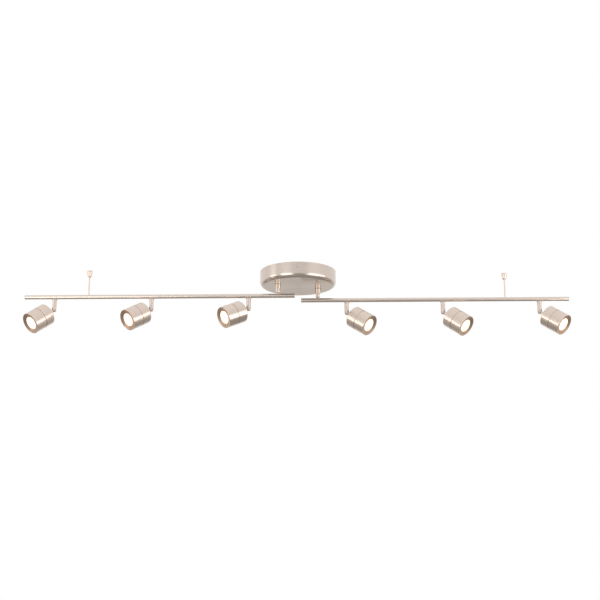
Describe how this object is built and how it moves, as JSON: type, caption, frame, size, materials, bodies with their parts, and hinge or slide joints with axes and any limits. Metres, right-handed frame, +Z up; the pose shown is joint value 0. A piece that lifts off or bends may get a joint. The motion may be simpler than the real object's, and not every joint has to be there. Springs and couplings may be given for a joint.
{
  "type": "track lighting fixture",
  "caption": "Swing-arm ceiling track light: round canopy, two round bars on pivot posts, swivelling spot heads on short stems, and a thin ceiling support on each bar.",
  "frame": {"origin": "centre of the top face of the mounting strap, in the plane of the ceiling, on the canopy's axis", "axes": "+Z up into the ceiling, +X along the bars, -Y towards the side the heads lean to at rest"},
  "size_m": [1.82, 0.2606, 0.2226],
  "materials": {
    "canopy_nickel": "satin brushed nickel plate",
    "bar_nickel": "fine brushed nickel plate",
    "head_nickel": "brushed nickel plate with grain around the head",
    "support_nickel": "satin nickel plate",
    "zinc_steel": "zinc-plated steel",
    "screw_steel": "plated screw steel",
    "driver_case": "matt moulded plastic",
    "terminal_plastic": "moulded nylon",
    "heat_sink": "cast aluminium",
    "lit_lens": "frosted lens, lit warm white"
  },
  "bodies": {
    "canopy": {"canopy_shell": "canopy_nickel", "mounting_strap": "zinc_steel", "driver": "driver_case", "terminal_block": "terminal_plastic", "canopy_screw_front": "bar_nickel", "canopy_screw_back": "bar_nickel"},
    "left_post": {"left_pivot_post": "bar_nickel", "left_pivot_washer": "zinc_steel", "left_pivot_nut": "zinc_steel", "left_knuckle_pin": "screw_steel"},
    "left_arm": {"left_bar": "bar_nickel", "left_outer_cap": "bar_nickel", "left_inner_cap": "bar_nickel", "left_support_rod": "support_nickel"},
    "left_foot": {"left_support_foot": "support_nickel"},
    "left_inner_swivel": {"left_inner_stem": "bar_nickel", "left_inner_tilt_pin": "screw_steel"},
    "left_inner_head": {"left_inner_rear_housing": "head_nickel", "left_inner_front_shroud": "head_nickel", "left_inner_lens": "lit_lens", "left_inner_led_module": "heat_sink"},
    "left_middle_swivel": {"left_middle_stem": "bar_nickel", "left_middle_tilt_pin": "screw_steel"},
    "left_middle_head": {"left_middle_rear_housing": "head_nickel", "left_middle_front_shroud": "head_nickel", "left_middle_lens": "lit_lens", "left_middle_led_module": "heat_sink"},
    "left_outer_swivel": {"left_outer_stem": "bar_nickel", "left_outer_tilt_pin": "screw_steel"},
    "left_outer_head": {"left_outer_rear_housing": "head_nickel", "left_outer_front_shroud": "head_nickel", "left_outer_lens": "lit_lens", "left_outer_led_module": "heat_sink"},
    "right_post": {"right_pivot_post": "bar_nickel", "right_pivot_washer": "zinc_steel", "right_pivot_nut": "zinc_steel", "right_knuckle_pin": "screw_steel"},
    "right_arm": {"right_bar": "bar_nickel", "right_outer_cap": "bar_nickel", "right_inner_cap": "bar_nickel", "right_support_rod": "support_nickel"},
    "right_foot": {"right_support_foot": "support_nickel"},
    "right_inner_swivel": {"right_inner_stem": "bar_nickel", "right_inner_tilt_pin": "screw_steel"},
    "right_inner_head": {"right_inner_rear_housing": "head_nickel", "right_inner_front_shroud": "head_nickel", "right_inner_lens": "lit_lens", "right_inner_led_module": "heat_sink"},
    "right_middle_swivel": {"right_middle_stem": "bar_nickel", "right_middle_tilt_pin": "screw_steel"},
    "right_middle_head": {"right_middle_rear_housing": "head_nickel", "right_middle_front_shroud": "head_nickel", "right_middle_lens": "lit_lens", "right_middle_led_module": "heat_sink"},
    "right_outer_swivel": {"right_outer_stem": "bar_nickel", "right_outer_tilt_pin": "screw_steel"},
    "right_outer_head": {"right_outer_rear_housing": "head_nickel", "right_outer_front_shroud": "head_nickel", "right_outer_lens": "lit_lens", "right_outer_led_module": "heat_sink"}
  },
  "joints": [
    {"name": "left_arm_swing", "type": "hinge", "parent": "canopy", "child": "left_post", "pos_m": [-0.0665, -0.031, -0.05], "axis": [0, 0, 1], "range_deg": [-90, 90]},
    {"name": "left_arm_level", "type": "hinge", "parent": "left_post", "child": "left_arm", "pos_m": [-0.0665, -0.031, -0.0745], "axis": [0, -1, 0], "range_deg": [0, 10]},
    {"name": "left_foot_height", "type": "slide", "parent": "left_arm", "child": "left_foot", "axis": [0, 0, 1], "range_m": [-0.007, 0]},
    {"name": "left_inner_head_swivel", "type": "hinge", "parent": "left_arm", "child": "left_inner_swivel", "pos_m": [-0.1635, -0.031, -0.0945], "axis": [0, 0, 1], "range_deg": [-175, 175]},
    {"name": "left_inner_head_tilt", "type": "hinge", "parent": "left_inner_swivel", "child": "left_inner_head", "pos_m": [-0.1635, -0.031, -0.1345], "axis": [-0.5592, 0.829, 0], "range_deg": [-66, 24]},
    {"name": "left_middle_head_swivel", "type": "hinge", "parent": "left_arm", "child": "left_middle_swivel", "pos_m": [-0.487, -0.031, -0.0945], "axis": [0, 0, 1], "range_deg": [-175, 175]},
    {"name": "left_middle_head_tilt", "type": "hinge", "parent": "left_middle_swivel", "child": "left_middle_head", "pos_m": [-0.487, -0.031, -0.1345], "axis": [-0.6561, 0.7547, 0], "range_deg": [-61, 29]},
    {"name": "left_outer_head_swivel", "type": "hinge", "parent": "left_arm", "child": "left_outer_swivel", "pos_m": [-0.8105, -0.031, -0.0945], "axis": [0, 0, 1], "range_deg": [-175, 175]},
    {"name": "left_outer_head_tilt", "type": "hinge", "parent": "left_outer_swivel", "child": "left_outer_head", "pos_m": [-0.8105, -0.031, -0.1345], "axis": [-0.682, 0.7314, 0], "range_deg": [-55, 35]},
    {"name": "right_arm_swing", "type": "hinge", "parent": "canopy", "child": "right_post", "pos_m": [0.0665, 0.031, -0.05], "axis": [0, 0, 1], "range_deg": [-90, 90]},
    {"name": "right_arm_level", "type": "hinge", "parent": "right_post", "child": "right_arm", "pos_m": [0.0665, 0.031, -0.0745], "axis": [0, 1, 0], "range_deg": [0, 10]},
    {"name": "right_foot_height", "type": "slide", "parent": "right_arm", "child": "right_foot", "axis": [0, 0, 1], "range_m": [-0.007, 0]},
    {"name": "right_inner_head_swivel", "type": "hinge", "parent": "right_arm", "child": "right_inner_swivel", "pos_m": [0.1635, 0.031, -0.0945], "axis": [0, 0, 1], "range_deg": [-175, 175]},
    {"name": "right_inner_head_tilt", "type": "hinge", "parent": "right_inner_swivel", "child": "right_inner_head", "pos_m": [0.1635, 0.031, -0.1345], "axis": [-0.5299, -0.848, 0], "range_deg": [-58, 32]},
    {"name": "right_middle_head_swivel", "type": "hinge", "parent": "right_arm", "child": "right_middle_swivel", "pos_m": [0.487, 0.031, -0.0945], "axis": [0, 0, 1], "range_deg": [-175, 175]},
    {"name": "right_middle_head_tilt", "type": "hinge", "parent": "right_middle_swivel", "child": "right_middle_head", "pos_m": [0.487, 0.031, -0.1345], "axis": [-0.5592, -0.829, 0], "range_deg": [-55, 35]},
    {"name": "right_outer_head_swivel", "type": "hinge", "parent": "right_arm", "child": "right_outer_swivel", "pos_m": [0.8105, 0.031, -0.0945], "axis": [0, 0, 1], "range_deg": [-175, 175]},
    {"name": "right_outer_head_tilt", "type": "hinge", "parent": "right_outer_swivel", "child": "right_outer_head", "pos_m": [0.8105, 0.031, -0.1345], "axis": [-0.6018, -0.7986, 0], "range_deg": [-56, 34]}
  ]
}
